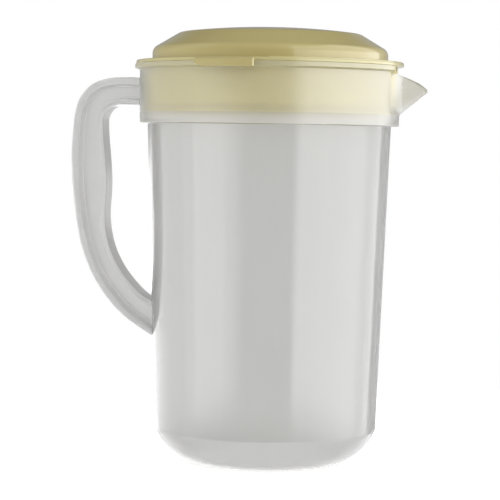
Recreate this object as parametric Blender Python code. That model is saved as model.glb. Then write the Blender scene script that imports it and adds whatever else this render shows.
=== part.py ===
"""Covered jug of frosted plastic: moulded body with a pouring spout, joined handle, sealing ring and turning lid.

Run it with blender --background --python part.py, or from the text editor.
Lengths are in metres and +Z is up. The origin is the middle of the flat underside.
The spout points along +X and the handle along -X.
"""

import math

import bmesh
import bpy
from mathutils import Matrix

# Clearances and helpers
FIT_GAP = 0.0003                # between pieces that seat on each other
CUT_OVERRUN = 0.004             # how far a cutter runs past what it cuts
MERGE_DISTANCE = 0.00001
SMOOTH_ANGLE = math.radians(28)
ANGLE_TOLERANCE = math.radians(0.5)

# Jug body
FOOT_RADIUS = 0.0465            # flat disc that the jug stands on
BASE_ROUND_RADIUS = 0.034       # arc of the rounded base, in section
CREASE_RADIUS = 0.0695          # where the rounded base meets the straight wall
CREASE_HEIGHT = 0.0209
SHOULDER_RADIUS = 0.0760        # top of the tapering wall, just under the collar
SHOULDER_HEIGHT = 0.2105
WALL = 0.0018
COLLAR_STEP = 0.0049            # how far the collar stands out from the wall below it
COLLAR_HEIGHT = 0.0363          # from the collar's underside to the top of the rim
COLLAR_DRAFT = 0.0003
COLLAR_LIP_ROUND = 0.0013
RIM_OVERHANG = 0.0029
RIM_THICKNESS = 0.0026
RIM_SLOPE = 0.0007              # fall of the rim's underside towards the collar
RIM_EDGE_ROUND = 0.0008

# Spout
SPOUT_REACH = 0.0179            # from the collar to the tip
SPOUT_HALF_ANGLE = math.radians(19)
SPOUT_NOSE_ANGLE = math.radians(1.3)    # blunts the beak's edge
SPOUT_ROOT_DROP = 0.0292        # rim to the lowest point of the keel
SPOUT_TIP_DROP = 0.0147         # rim to the tip
SPOUT_NOTCH_DROP = 0.0040       # rim to the spout's edge where it leaves the collar
SPOUT_NOSE_WALL = 0.0030        # wall at the keel, measured along X
NOTCH_RAMP = math.radians(1)

# Handle
HANDLE_RIM_DROP = 0.0082        # rim to the top of the handle's arm
HANDLE_DROP = 0.1628            # top of the arm to the underside of the lower end
HANDLE_REACH = 0.0455
HANDLE_WIDTH = 0.026
HANDLE_WEB = 0.005
HANDLE_OUTER_FLANGE = 0.0044
HANDLE_INNER_FLANGE = 0.0032
HANDLE_FLANGE_DRAFT = 0.0010
HANDLE_EDGE_ROUND = 0.0017
HANDLE_ROOT = 0.0050            # how far each end runs into the jug's outline before it is cut to fit

# The handle's outer and inner edges, from the upper end to the lower one. Each row has the outer edge's share of
# the reach and of the drop, then the inner edge's. The ends' shares of the reach are set by the root.
HANDLE_EDGE_SHARES = (
    (0.246, -0.001, 0.213, 0.104),
    (0.458, 0.006, 0.334, 0.106),
    (0.656, 0.027, 0.450, 0.121),
    (0.822, 0.074, 0.521, 0.151),
    (0.900, 0.126, 0.535, 0.187),
    (0.945, 0.190, 0.536, 0.229),
    (0.985, 0.283, 0.527, 0.296),
    (0.999, 0.354, 0.521, 0.367),
    (0.998, 0.440, 0.534, 0.436),
    (0.968, 0.552, 0.568, 0.520),
    (0.922, 0.638, 0.562, 0.592),
    (0.811, 0.738, 0.502, 0.670),
    (0.644, 0.825, 0.378, 0.742),
    (0.448, 0.894, 0.217, 0.801),
    (0.236, 0.944, 0.080, 0.838),
)
HANDLE_UPPER_END_SHARES = (0.000, 0.104)     # drop of the outer and inner edge where the arm enters the collar
HANDLE_LOWER_END_SHARES = (1.006, 0.867)     # the same where the lower end enters the wall

# Lid
SKIRT_PLAY = 0.0006             # between the skirt and the collar's bore
SKIRT_DEPTH = 0.0295            # from the flange's underside to the bottom of the skirt
LID_WALL = 0.0018
FLANGE_THICKNESS = 0.0022
FLANGE_SETBACK = 0.0007         # how far the flange stays inside the jug's rim
FLANGE_EDGE_ROUND = 0.0009
CROWN_INSET = 0.0056            # collar's bore to the crown's upright wall
CROWN_WALL_HEIGHT = 0.0077
CROWN_TOP_INSET = 0.0170        # crown's upright wall to the corner of its top
CROWN_TOP_HEIGHT = 0.0179       # flange to the corner of its top
CROWN_DOME_RISE = 0.0036        # corner of the top to its middle
CROWN_TOP_ROUND = 0.007
CROWN_WALL_ROUND = 0.005
SKIRT_FOOT_THICKNESS = 0.0034
SKIRT_FOOT_HEIGHT = 0.0062
SKIRT_FOOT_SLOPE = 0.0020

# Seal and its groove, near the bottom of the skirt
SEAL_HEIGHT = 0.0018
SEAL_PLAY = 0.0004              # seal to the collar's bore, and seal to the floor of its groove
GROOVE_DEPTH = 0.0019
GROOVE_RISE = 0.0016            # bottom of the skirt to the groove
SEAL_EDGE_ROUND = 0.0005

# Thumb tab, opposite the pouring window; angles are counted from +X with the lid closed
TAB_ANGLE = math.radians(-104)
TAB_HALF_ANGLE = math.radians(13.4)
TAB_REACH = 0.0068              # from the flange's edge to the tab's outer face
TAB_DROP = 0.0056               # flange's top to the bottom of the tab
TAB_THICKNESS = 0.0018
TAB_SET_DOWN = 0.0002           # top of the tab below the top of the flange
TAB_ROOT = 0.004
TAB_EDGE_ROUND = 0.0006

# Pouring window and strainer slots in the skirt
WINDOW_HALF_ANGLE = math.radians(15.4)
WINDOW_FOOT = 0.0068            # bottom of the skirt to the window
WINDOW_HEAD = 0.0052            # window to the flange's underside
WINDOW_CORNER = 0.003
STRAINER_SIDE = math.radians(90)        # from the window to the strainer, away from the spout
SLOT_COUNT = 6
SLOT_WIDTH = 0.0022
SLOT_PITCH = math.radians(3.8)

# Roundness of what is turned and swept
COARSE_STEPS = 64
SPOUT_STEPS = 16
SPOUT_ROWS = 6
LID_STEPS = 72
TAB_STEPS = 6
DOME_STEPS = 4
BASE_STEPS = 5
HANDLE_STEPS_PER_SPAN = 2

# Worked out from the sizes above
COLLAR_RADIUS = SHOULDER_RADIUS + COLLAR_STEP
COLLAR_TOP_RADIUS = COLLAR_RADIUS + COLLAR_DRAFT
RIM_HEIGHT = SHOULDER_HEIGHT + COLLAR_HEIGHT
RIM_RADIUS = COLLAR_TOP_RADIUS + RIM_OVERHANG
BORE_RADIUS = COLLAR_RADIUS - WALL
SPOUT_ROOT_HEIGHT = RIM_HEIGHT - SPOUT_ROOT_DROP
SPOUT_TIP_HEIGHT = RIM_HEIGHT - SPOUT_TIP_DROP
SPOUT_NOTCH_HEIGHT = RIM_HEIGHT - SPOUT_NOTCH_DROP
SPOUT_CLEAR_ANGLE = SPOUT_HALF_ANGLE + NOTCH_RAMP
HANDLE_TOP = RIM_HEIGHT - HANDLE_RIM_DROP
FLANGE_BOTTOM = RIM_HEIGHT + FIT_GAP
FLANGE_TOP = FLANGE_BOTTOM + FLANGE_THICKNESS
FLANGE_RADIUS = RIM_RADIUS - FLANGE_SETBACK
SKIRT_RADIUS = BORE_RADIUS - SKIRT_PLAY
SKIRT_BOTTOM = FLANGE_BOTTOM - SKIRT_DEPTH
CROWN_RADIUS = BORE_RADIUS - CROWN_INSET
CROWN_TOP_RADIUS = CROWN_RADIUS - CROWN_TOP_INSET
GROOVE_RADIUS = SKIRT_RADIUS - GROOVE_DEPTH
GROOVE_BOTTOM = SKIRT_BOTTOM + GROOVE_RISE
GROOVE_TOP = GROOVE_BOTTOM + SEAL_HEIGHT + 2 * FIT_GAP
TAB_RADIUS = FLANGE_RADIUS + TAB_REACH
WINDOW_ANGLE = TAB_ANGLE + math.pi
STRAINER_ANGLE = WINDOW_ANGLE + STRAINER_SIDE
WINDOW_BOTTOM = SKIRT_BOTTOM + WINDOW_FOOT
WINDOW_TOP = FLANGE_BOTTOM - WINDOW_HEAD

# Colours are linear; the lid is an opaque straw yellow, the rest a clear-to-milky plastic
FROSTED = (0.71, 0.71, 0.69, 1.0)
STRAW = (0.80, 0.72, 0.40, 1.0)
PALE = (0.80, 0.78, 0.68, 1.0)


def arc_between(start, end, radius, steps):
    """Points from start to end along a circle that bulges to the right of the way they run."""
    run = end[0] - start[0]
    rise = end[1] - start[1]
    chord = math.hypot(run, rise)
    depth = math.sqrt(radius**2 - (chord / 2) ** 2)
    centre_x = (start[0] + end[0]) / 2 - rise / chord * depth
    centre_z = (start[1] + end[1]) / 2 + run / chord * depth
    first = math.atan2(start[1] - centre_z, start[0] - centre_x)
    last = math.atan2(end[1] - centre_z, end[0] - centre_x)
    sweep = math.remainder(last - first, 2 * math.pi)
    angles = [first + sweep * i / steps for i in range(steps + 1)]
    return [(centre_x + radius * math.cos(a), centre_z + radius * math.sin(a)) for a in angles]


def unit(start, end):
    """Direction from one point of a section to another."""
    length = math.hypot(end[0] - start[0], end[1] - start[1])
    return (end[0] - start[0]) / length, (end[1] - start[1]) / length


def offset_path(path, distance):
    """The path moved to its right-hand side, with each corner on its mitre and points on the axis kept there."""
    moved = []
    for i, (x, z) in enumerate(path):
        before = unit(path[max(i - 1, 0)], path[max(i, 1)])
        after = unit(path[min(i, len(path) - 2)], path[min(i + 1, len(path) - 1)])
        if x == 0:
            moved.append((0, z - distance / after[0]))
            continue
        normal_x = before[1] + after[1]
        normal_z = -before[0] - after[0]
        scale = distance / (1 + before[0] * after[0] + before[1] * after[1])
        moved.append((x + normal_x * scale, z + normal_z * scale))
    return moved


def rounded(path, rounds, steps=2):
    """The path with some of its corners rounded; rounds maps a corner's index to its radius."""
    points = []
    for i, corner in enumerate(path):
        if i not in rounds:
            points.append(corner)
            continue
        back = unit(corner, path[i - 1])
        ahead = unit(corner, path[i + 1])
        half = math.acos(max(-1, min(1, back[0] * ahead[0] + back[1] * ahead[1]))) / 2
        cut = rounds[i] / math.tan(half)
        start = (corner[0] + back[0] * cut, corner[1] + back[1] * cut)
        end = (corner[0] + ahead[0] * cut, corner[1] + ahead[1] * cut)
        turn = back[0] * ahead[1] - back[1] * ahead[0]
        if turn < 0:
            points.extend(arc_between(start, end, rounds[i], steps))
        else:
            points.extend(reversed(arc_between(end, start, rounds[i], steps)))
    return points


def turn_section(section, stages, closed=False, start=0):
    """A mesh made by turning a section of (radius, height) points about Z, from the angle start.

    Each stage is an angle and the steps it takes. A closed section makes a ring; an open one starts and ends on the
    axis.
    """
    mesh = bmesh.new()
    points = [mesh.verts.new((r * math.cos(start), r * math.sin(start), z)) for r, z in section]
    pairs = list(zip(points, points[1:]))
    if closed:
        pairs.append((points[-1], points[0]))
    geometry = points + [mesh.edges.new(pair) for pair in pairs]
    for angle, steps in stages:
        spun = bmesh.ops.spin(mesh, geom=geometry, cent=(0, 0, 0), axis=(0, 0, 1), angle=angle, steps=steps)
        geometry = spun["geom_last"]
    bmesh.ops.remove_doubles(mesh, verts=mesh.verts, dist=MERGE_DISTANCE)
    bmesh.ops.recalc_face_normals(mesh, faces=mesh.faces)
    return mesh


def turned_wedge(section, middle, half_angle, steps):
    """A closed section turned through a part of a circle, with its two ends capped."""
    mesh = bmesh.new()
    start = middle - half_angle
    points = [mesh.verts.new((r * math.cos(start), r * math.sin(start), z)) for r, z in section]
    face = mesh.faces.new(points)
    bmesh.ops.spin(mesh, geom=[face], cent=(0, 0, 0), axis=(0, 0, 1), angle=2 * half_angle, steps=steps)
    bmesh.ops.recalc_face_normals(mesh, faces=mesh.faces)
    return mesh


def add_object(name, mesh, material=None):
    """Turns a bmesh into a named object; one without a material is a cutter or a guide."""
    data = bpy.data.meshes.new(name)
    mesh.to_mesh(data)
    mesh.free()
    item = bpy.data.objects.new(name, data)
    bpy.context.scene.collection.objects.link(item)
    if material is None:
        item.hide_render = True
        item.display_type = "WIRE"
        return item
    data.materials.append(material)
    data.shade_smooth()
    data.set_sharp_from_angle(angle=SMOOTH_ANGLE)
    return item


def add_material(name, colour, roughness, transmission):
    """A plain plastic with the piece's colour."""
    material = bpy.data.materials.new(name)
    material.use_nodes = True
    shader = material.node_tree.nodes["Principled BSDF"]
    shader.inputs["Base Color"].default_value = colour
    shader.inputs["Roughness"].default_value = roughness
    shader.inputs["Metallic"].default_value = 0
    shader.inputs["Transmission Weight"].default_value = transmission
    return material


def cut(item, cutter, operation="DIFFERENCE"):
    """A live Boolean between an object and a cutter."""
    modifier = item.modifiers.new(cutter.name, "BOOLEAN")
    modifier.object = cutter
    modifier.operation = operation
    modifier.solver = "EXACT"


def body_path():
    """The outside of the jug from the middle of its foot to the top of the rim, with sharp corners."""
    base = arc_between((FOOT_RADIUS, 0), (CREASE_RADIUS, CREASE_HEIGHT), BASE_ROUND_RADIUS, BASE_STEPS)
    return [
        (0, 0),
        *base,
        (SHOULDER_RADIUS, SHOULDER_HEIGHT),
        (COLLAR_RADIUS, SHOULDER_HEIGHT),
        (COLLAR_TOP_RADIUS, RIM_HEIGHT),
    ]


def jug_section():
    """The jug's wall in section, from the middle of its foot over the rim to the middle of its floor."""
    outside = body_path()
    inside = offset_path(outside, -WALL)
    collar_foot = len(outside) - 2
    outside = rounded(outside, {collar_foot: COLLAR_LIP_ROUND})
    underside = RIM_HEIGHT - RIM_THICKNESS
    rim = [
        (COLLAR_TOP_RADIUS, underside - RIM_SLOPE),
        (RIM_RADIUS - RIM_EDGE_ROUND, underside),
        (RIM_RADIUS, underside + RIM_EDGE_ROUND),
        (RIM_RADIUS, RIM_HEIGHT - RIM_EDGE_ROUND),
        (RIM_RADIUS - RIM_EDGE_ROUND, RIM_HEIGHT),
    ]
    return outside[:-1] + rim + inside[::-1]


def jug_stages():
    """Steps of the turn: coarse round the back, then fine across the spout, with a short ramp at each side."""
    return [
        (2 * math.pi - 2 * SPOUT_CLEAR_ANGLE, COARSE_STEPS),
        (NOTCH_RAMP, 1),
        (2 * SPOUT_HALF_ANGLE, SPOUT_STEPS),
        (NOTCH_RAMP, 1),
    ]


def spout_radius(angle, height, wall_radius, inset):
    """How far the spout's wall is from the axis, at an angle from +X and a height.

    In plan the beak's sides run straight from its nose to the collar, where the half angle ends.
    """
    rise = (height - SPOUT_ROOT_HEIGHT) / (SPOUT_TIP_HEIGHT - SPOUT_ROOT_HEIGHT)
    nose = COLLAR_RADIUS + SPOUT_REACH * rise - inset
    if nose <= wall_radius:
        return wall_radius
    side = wall_radius * math.sin(SPOUT_HALF_ANGLE)
    blunt = wall_radius * math.sin(SPOUT_HALF_ANGLE - SPOUT_NOSE_ANGLE)
    apex = nose * blunt / (side - nose * math.sin(SPOUT_NOSE_ANGLE))
    bent = math.hypot(angle, SPOUT_NOSE_ANGLE)
    beak = apex * side / (apex * math.sin(bent) + wall_radius * math.sin(SPOUT_HALF_ANGLE - bent))
    return max(wall_radius, beak)


def spout_edge(angle):
    """Height of the spout's edge at an angle from +X."""
    tip = spout_radius(angle, SPOUT_TIP_HEIGHT, COLLAR_RADIUS, 0)
    advance = (tip - COLLAR_RADIUS) / SPOUT_REACH
    return SPOUT_NOTCH_HEIGHT - (SPOUT_NOTCH_HEIGHT - SPOUT_TIP_HEIGHT) * advance


def form_spout(mesh):
    """Draws the collar out into the spout and lowers the rim there."""
    reach_angle = SPOUT_HALF_ANGLE + NOTCH_RAMP / 2

    def in_spout(vertex):
        return vertex.co.x > 0 and abs(math.atan2(vertex.co.y, vertex.co.x)) < reach_angle

    uprights = [
        edge
        for edge in mesh.edges
        if all(in_spout(v) and v.co.z > SHOULDER_HEIGHT for v in edge.verts)
        and abs(edge.verts[0].co.z - edge.verts[1].co.z) > COLLAR_HEIGHT / 2
    ]
    bmesh.ops.subdivide_edges(mesh, edges=uprights, cuts=SPOUT_ROWS, use_grid_fill=True)
    between = COLLAR_RADIUS - WALL / 2
    for vertex in mesh.verts:
        if vertex.co.z <= SPOUT_ROOT_HEIGHT or not in_spout(vertex):
            continue
        angle = math.atan2(vertex.co.y, vertex.co.x)
        radius = math.hypot(vertex.co.x, vertex.co.y)
        share = (vertex.co.z - SPOUT_ROOT_HEIGHT) / (RIM_HEIGHT - SPOUT_ROOT_HEIGHT)
        height = SPOUT_ROOT_HEIGHT + share * (spout_edge(angle) - SPOUT_ROOT_HEIGHT)
        inset = 0 if radius > between else SPOUT_NOSE_WALL
        wall = min(radius, COLLAR_TOP_RADIUS)
        radius = spout_radius(angle, height, wall, inset)
        vertex.co = (radius * math.cos(angle), radius * math.sin(angle), height)


def make_jug_body(material):
    """The moulded jug: base, tapering wall, collar, rim and spout."""
    mesh = turn_section(jug_section(), jug_stages(), start=SPOUT_CLEAR_ANGLE)
    form_spout(mesh)
    return add_object("jug_body", mesh, material)


def wall_radius(height):
    """Outer radius of the jug's tapering wall at a height."""
    share = (height - CREASE_HEIGHT) / (SHOULDER_HEIGHT - CREASE_HEIGHT)
    return CREASE_RADIUS + (SHOULDER_RADIUS - CREASE_RADIUS) * share


def handle_point(reach_share, drop_share):
    """A point of the handle's side view, (x, z), from its shares of the reach and the drop."""
    foot = wall_radius(HANDLE_TOP - HANDLE_DROP)
    side = COLLAR_RADIUS + (foot - COLLAR_RADIUS) * drop_share
    return -side - reach_share * HANDLE_REACH, HANDLE_TOP - drop_share * HANDLE_DROP


def handle_stations():
    """Pairs of outer and inner edge points along the handle, on smooth curves through the shares' points."""
    root = -HANDLE_ROOT / HANDLE_REACH
    rows = [(root, HANDLE_UPPER_END_SHARES[0], root, HANDLE_UPPER_END_SHARES[1])]
    rows += HANDLE_EDGE_SHARES
    rows.append((root, HANDLE_LOWER_END_SHARES[0], root, HANDLE_LOWER_END_SHARES[1]))
    stations = []
    for i in range(len(rows) - 1):
        spans = [rows[max(i - 1, 0)], rows[i], rows[i + 1], rows[min(i + 2, len(rows) - 1)]]
        for step in range(HANDLE_STEPS_PER_SPAN):
            t = step / HANDLE_STEPS_PER_SPAN
            shares = [smooth_between(values, t) for values in zip(*spans)]
            stations.append((handle_point(*shares[:2]), handle_point(*shares[2:])))
    stations.append((handle_point(*rows[-1][:2]), handle_point(*rows[-1][2:])))
    return stations


def smooth_between(values, t):
    """A value between the second and third of four, on a smooth curve through them all."""
    before, start, end, after = values
    bend = 2 * before - 5 * start + 4 * end - after
    twist = 3 * (start - end) + after - before
    return start + ((end - before) * t + bend * t**2 + twist * t**3) / 2


def handle_section(depth):
    """Section of the handle: points of (distance from the outer edge, y) for a section of a given depth."""
    half = HANDLE_WIDTH / 2
    web = HANDLE_WEB / 2
    edge = HANDLE_EDGE_ROUND
    inner = depth - HANDLE_INNER_FLANGE
    side = [
        (0, half - edge),
        (edge, half),
        (HANDLE_OUTER_FLANGE, half),
        (HANDLE_OUTER_FLANGE + HANDLE_FLANGE_DRAFT, web),
        (inner - HANDLE_FLANGE_DRAFT, web),
        (inner, half),
        (depth - edge, half),
        (depth, half - edge),
    ]
    return side + [(u, -y) for u, y in reversed(side)]


def make_handle(material):
    """The handle: a channel-sided bar swept along its two edges, cut to fit the jug's outside at both ends."""
    mesh = bmesh.new()
    rings = []
    for outer, inner in handle_stations():
        depth = math.hypot(inner[0] - outer[0], inner[1] - outer[1])
        along = unit(outer, inner)
        section = handle_section(depth)
        rings.append([mesh.verts.new((outer[0] + along[0] * u, y, outer[1] + along[1] * u)) for u, y in section])
    count = len(rings[0])
    for ring, following in zip(rings, rings[1:]):
        for i in range(count):
            j = (i + 1) % count
            mesh.faces.new((ring[i], ring[j], following[j], following[i]))
    mesh.faces.new(rings[0][::-1])
    mesh.faces.new(rings[-1])
    bmesh.ops.recalc_face_normals(mesh, faces=mesh.faces)
    handle = add_object("handle", mesh, material)

    clear = offset_path(body_path(), FIT_GAP)[1:]
    clear = [(0, -CUT_OVERRUN), (clear[0][0], -CUT_OVERRUN)] + clear
    top = RIM_HEIGHT + CUT_OVERRUN
    clear += [(clear[-1][0], top), (0, top)]
    cut(handle, add_object("handle_fit", turn_section(clear, jug_stages(), start=SPOUT_CLEAR_ANGLE)))
    return handle


def crown_path():
    """The lid's outside from the middle of its top to the flange, with sharp corners below the dome."""
    corner = (CROWN_TOP_RADIUS, FLANGE_TOP + CROWN_TOP_HEIGHT)
    middle = (0, corner[1] + CROWN_DOME_RISE)
    dome_radius = (CROWN_TOP_RADIUS**2 + CROWN_DOME_RISE**2) / (2 * CROWN_DOME_RISE)
    dome = arc_between(corner, middle, dome_radius, DOME_STEPS)
    dome[-1] = middle
    return [
        *dome[::-1],
        (CROWN_RADIUS, FLANGE_TOP + CROWN_WALL_HEIGHT),
        (CROWN_RADIUS, FLANGE_TOP),
    ]


def lid_section():
    """The lid in section, from the middle of its top round the flange and skirt to the middle of its underside."""
    crown = crown_path()
    crown_inside = offset_path(crown, LID_WALL)
    outside = rounded(crown, {DOME_STEPS: CROWN_TOP_ROUND, DOME_STEPS + 1: CROWN_WALL_ROUND}, steps=3)
    flange = [(CROWN_RADIUS, FLANGE_TOP), (FLANGE_RADIUS, FLANGE_TOP), (FLANGE_RADIUS, FLANGE_BOTTOM)]
    flange.append((SKIRT_RADIUS, FLANGE_BOTTOM))
    flange = rounded(flange, {1: FLANGE_EDGE_ROUND, 2: FLANGE_EDGE_ROUND}, steps=2)
    foot_inside = SKIRT_RADIUS - SKIRT_FOOT_THICKNESS
    skirt_inside = SKIRT_RADIUS - LID_WALL
    foot_top = SKIRT_BOTTOM + SKIRT_FOOT_HEIGHT
    skirt = [
        (SKIRT_RADIUS, GROOVE_TOP),
        (GROOVE_RADIUS, GROOVE_TOP),
        (GROOVE_RADIUS, GROOVE_BOTTOM),
        (SKIRT_RADIUS, GROOVE_BOTTOM),
        (SKIRT_RADIUS, SKIRT_BOTTOM),
        (foot_inside, SKIRT_BOTTOM),
        (foot_inside, foot_top - SKIRT_FOOT_SLOPE),
        (skirt_inside, foot_top),
        (skirt_inside, FLANGE_TOP - LID_WALL),
        (crown_inside[-1][0], FLANGE_TOP - LID_WALL),
    ]
    return outside[:-1] + flange + skirt + crown_inside[-2::-1]


def tab_section():
    """The thumb tab in section: an arm that grows from the flange and a lip that hangs outside the rim."""
    top = FLANGE_TOP - TAB_SET_DOWN
    under = top - TAB_THICKNESS
    bottom = FLANGE_TOP - TAB_DROP
    root = FLANGE_RADIUS - TAB_ROOT
    path = [
        (root, top),
        (TAB_RADIUS, top),
        (TAB_RADIUS, bottom),
        (TAB_RADIUS - TAB_THICKNESS, bottom),
        (TAB_RADIUS - TAB_THICKNESS, under),
        (root, under),
    ]
    return rounded(path, {1: TAB_EDGE_ROUND, 2: TAB_EDGE_ROUND}, steps=2)


def window_cutter():
    """What is cut from the skirt for pouring: a wedge across the wall, with rounded corners."""
    inner = SKIRT_RADIUS - SKIRT_FOOT_THICKNESS - CUT_OVERRUN
    outer = SKIRT_RADIUS + CUT_OVERRUN
    section = [
        (inner, WINDOW_BOTTOM),
        (outer, WINDOW_BOTTOM),
        (outer, WINDOW_TOP),
        (inner, WINDOW_TOP),
    ]
    mesh = turned_wedge(section, WINDOW_ANGLE, WINDOW_HALF_ANGLE, TAB_STEPS)
    ends = (WINDOW_ANGLE - WINDOW_HALF_ANGLE, WINDOW_ANGLE + WINDOW_HALF_ANGLE)
    radial = []
    for edge in mesh.edges:
        first, second = (v.co for v in edge.verts)
        level = abs(first.z - second.z) < MERGE_DISTANCE
        across = abs(first.xy.length - second.xy.length) > CUT_OVERRUN
        angle = math.atan2(first.y, first.x)
        at_end = any(abs(math.remainder(angle - end, 2 * math.pi)) < ANGLE_TOLERANCE for end in ends)
        if level and across and at_end:
            radial.append(edge)
    bmesh.ops.bevel(mesh, geom=radial, offset=WINDOW_CORNER, segments=3, profile=0.5, affect="EDGES")
    return add_object("window_cut", mesh)


def slot_cutter():
    """The strainer's slots: upright bars across the skirt's wall, side by side in one cutter."""
    mesh = bmesh.new()
    middle_radius = SKIRT_RADIUS - LID_WALL / 2
    depth = SKIRT_FOOT_THICKNESS + CUT_OVERRUN
    for i in range(SLOT_COUNT):
        angle = STRAINER_ANGLE + (i - (SLOT_COUNT - 1) / 2) * SLOT_PITCH
        bar = bmesh.ops.create_cube(mesh, size=1)["verts"]
        bmesh.ops.scale(mesh, verts=bar, vec=(depth, SLOT_WIDTH, WINDOW_TOP - WINDOW_BOTTOM))
        bmesh.ops.translate(mesh, verts=bar, vec=(middle_radius, 0, (WINDOW_TOP + WINDOW_BOTTOM) / 2))
        bmesh.ops.rotate(mesh, verts=bar, cent=(0, 0, 0), matrix=Matrix.Rotation(angle, 3, "Z"))
    return add_object("strainer_cut", mesh)


def make_lid(material):
    """The lid: crown, flange, thumb tab and a skirt with a pouring window, strainer slots and the seal's groove."""
    mesh = turn_section(lid_section(), [(2 * math.pi, LID_STEPS)])
    lid = add_object("lid", mesh, material)
    tab = turned_wedge(tab_section(), TAB_ANGLE, TAB_HALF_ANGLE, TAB_STEPS)
    cut(lid, add_object("tab_form", tab), "UNION")
    cut(lid, window_cutter())
    cut(lid, slot_cutter())
    return lid


def make_lid_seal(material):
    """The flexible ring in the skirt's groove."""
    outer = BORE_RADIUS - SEAL_PLAY
    inner = GROOVE_RADIUS + SEAL_PLAY
    bottom = GROOVE_BOTTOM + FIT_GAP
    top = bottom + SEAL_HEIGHT
    path = [(inner, bottom), (outer, bottom), (outer, top), (inner, top), (inner, bottom)]
    path = rounded(path, {1: SEAL_EDGE_ROUND, 2: SEAL_EDGE_ROUND}, steps=2)[:-1]
    return add_object("lid_seal", turn_section(path, [(2 * math.pi, LID_STEPS)], closed=True), material)


def main():
    """Builds the jug's pieces."""
    for item in list(bpy.data.objects):
        bpy.data.objects.remove(item, do_unlink=True)
    frosted = add_material("frosted_plastic", FROSTED, 0.3, 0.4)
    make_jug_body(frosted)
    make_handle(add_material("handle_plastic", FROSTED, 0.35, 0.3))
    make_lid(add_material("lid_plastic", STRAW, 0.3, 0))
    make_lid_seal(add_material("seal_plastic", PALE, 0.5, 0))


main()
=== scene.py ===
"""Dresses the covered pitcher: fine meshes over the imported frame, plastics, studio light and camera.

Lengths are in metres and +Z is up. The spout points along +X and the handle along -X.
"""

import logging
import math
from collections.abc import Callable, Iterable
from dataclasses import dataclass, field
from enum import Enum, IntEnum
from functools import reduce

import bmesh
import bpy
from bmesh.types import BMesh, BMFace, BMVert
from bpy.types import Material, Node, NodeSocket, NodeTree, Object
from mathutils import Matrix, Vector


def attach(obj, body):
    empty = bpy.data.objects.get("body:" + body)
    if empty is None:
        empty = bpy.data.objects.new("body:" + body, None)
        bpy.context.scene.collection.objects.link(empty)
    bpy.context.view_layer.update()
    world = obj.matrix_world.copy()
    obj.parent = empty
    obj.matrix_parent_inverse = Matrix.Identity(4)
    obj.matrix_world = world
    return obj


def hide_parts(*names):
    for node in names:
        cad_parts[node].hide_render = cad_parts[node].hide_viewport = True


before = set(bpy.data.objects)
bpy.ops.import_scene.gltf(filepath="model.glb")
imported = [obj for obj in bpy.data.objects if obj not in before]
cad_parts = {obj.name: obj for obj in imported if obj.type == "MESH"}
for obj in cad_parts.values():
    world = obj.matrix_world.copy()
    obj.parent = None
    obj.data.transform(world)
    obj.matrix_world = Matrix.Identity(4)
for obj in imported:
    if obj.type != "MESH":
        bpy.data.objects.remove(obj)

LOG = logging.getLogger("pitcher")
MERGE_DISTANCE = 0.00001
FULL_TURN = 2 * math.pi
FIT_GAP = 0.0003                # between pieces that seat on each other
CUT_OVERRUN = 0.004             # how far a cutter runs past what it cuts
SHARP_ANGLE = math.radians(32)  # edges that turn by more stay crisp
SHADING_WEIGHT = 60             # above 50, large faces count for more in the shading
FACING = 0.5                    # share of a normal past which its face counts as facing that way

Point = tuple[float, float]
Sweep = tuple[float, int]
Span = tuple[float, float]
Value = NodeSocket | float | tuple[float, ...]
Inputs = dict[str, NodeSocket]


class Body(Enum):
    """The frame's moving bodies."""

    JUG = "jug"
    LID_RING = "lid_ring"
    LID = "lid"


class JugZone(IntEnum):
    """The jug body's finishes, in the order of its materials; several are copies of one plastic with painted
    light.
    """

    # painted light: a lighter copy of the wall's plastic
    BASE = 0
    WALL = 1
    # painted light: a lighter, yellow-tinted band, also under the collar's step
    COLLAR_FOOT_PAINTED_LIGHT = 2
    # painted light: lighter than the wall
    COLLAR = 3
    INSIDE = 4
    # painted glow of the lid's yellow skirt
    SPOUT = 5
    # painted glow of the lid's yellow flange and skirt
    RIM = 6


class LidZone(IntEnum):
    """The lid's finishes, in the order of its materials; the skirt and the flange's edge are lighter copies
    with painted light.
    """

    TOP = 0
    # painted light: a brighter copy of the lid plastic
    SKIRT = 1
    # painted light and a painted highlight: a lighter copy of the lid plastic
    FLANGE_EDGE = 2


class Slot(Enum):
    """The record's material slots."""

    FROSTED = "frosted_plastic"
    LID = "lid_plastic"
    SEAL = "seal_rubber"


# Sections and turned shapes


@dataclass(frozen=True)
class Corner:
    """A corner of a section, with the radius that it is rounded to."""

    radius: float
    height: float
    rounding: float = 0.0
    steps: int = 5

    @property
    def point(self) -> Point:
        """The corner's place as (radius, height)."""
        return self.radius, self.height


def unit(start: Point, end: Point) -> Point:
    """Returns the direction from one point of a section to another."""
    length = math.hypot(end[0] - start[0], end[1] - start[1])
    return (end[0] - start[0]) / length, (end[1] - start[1]) / length


def arc_between(start: Point, end: Point, radius: float, steps: int) -> list[Point]:
    """Draws an arc that bulges to the right of the way it runs.

    Args:
        start: The arc's first point.
        end: The arc's last point.
        radius: The arc's radius.
        steps: How many spans the arc has.

    Returns:
        The arc's points, both ends among them.
    """
    chord = math.dist(start, end)
    depth = math.sqrt(radius**2 - (chord / 2) ** 2)
    along = unit(start, end)
    centre_x = (start[0] + end[0]) / 2 - along[1] * depth
    centre_z = (start[1] + end[1]) / 2 + along[0] * depth
    first = math.atan2(start[1] - centre_z, start[0] - centre_x)
    last = math.atan2(end[1] - centre_z, end[0] - centre_x)
    sweep = math.remainder(last - first, FULL_TURN)
    angles = [first + sweep * i / steps for i in range(steps + 1)]
    return [(centre_x + radius * math.cos(a), centre_z + radius * math.sin(a)) for a in angles]


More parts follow.
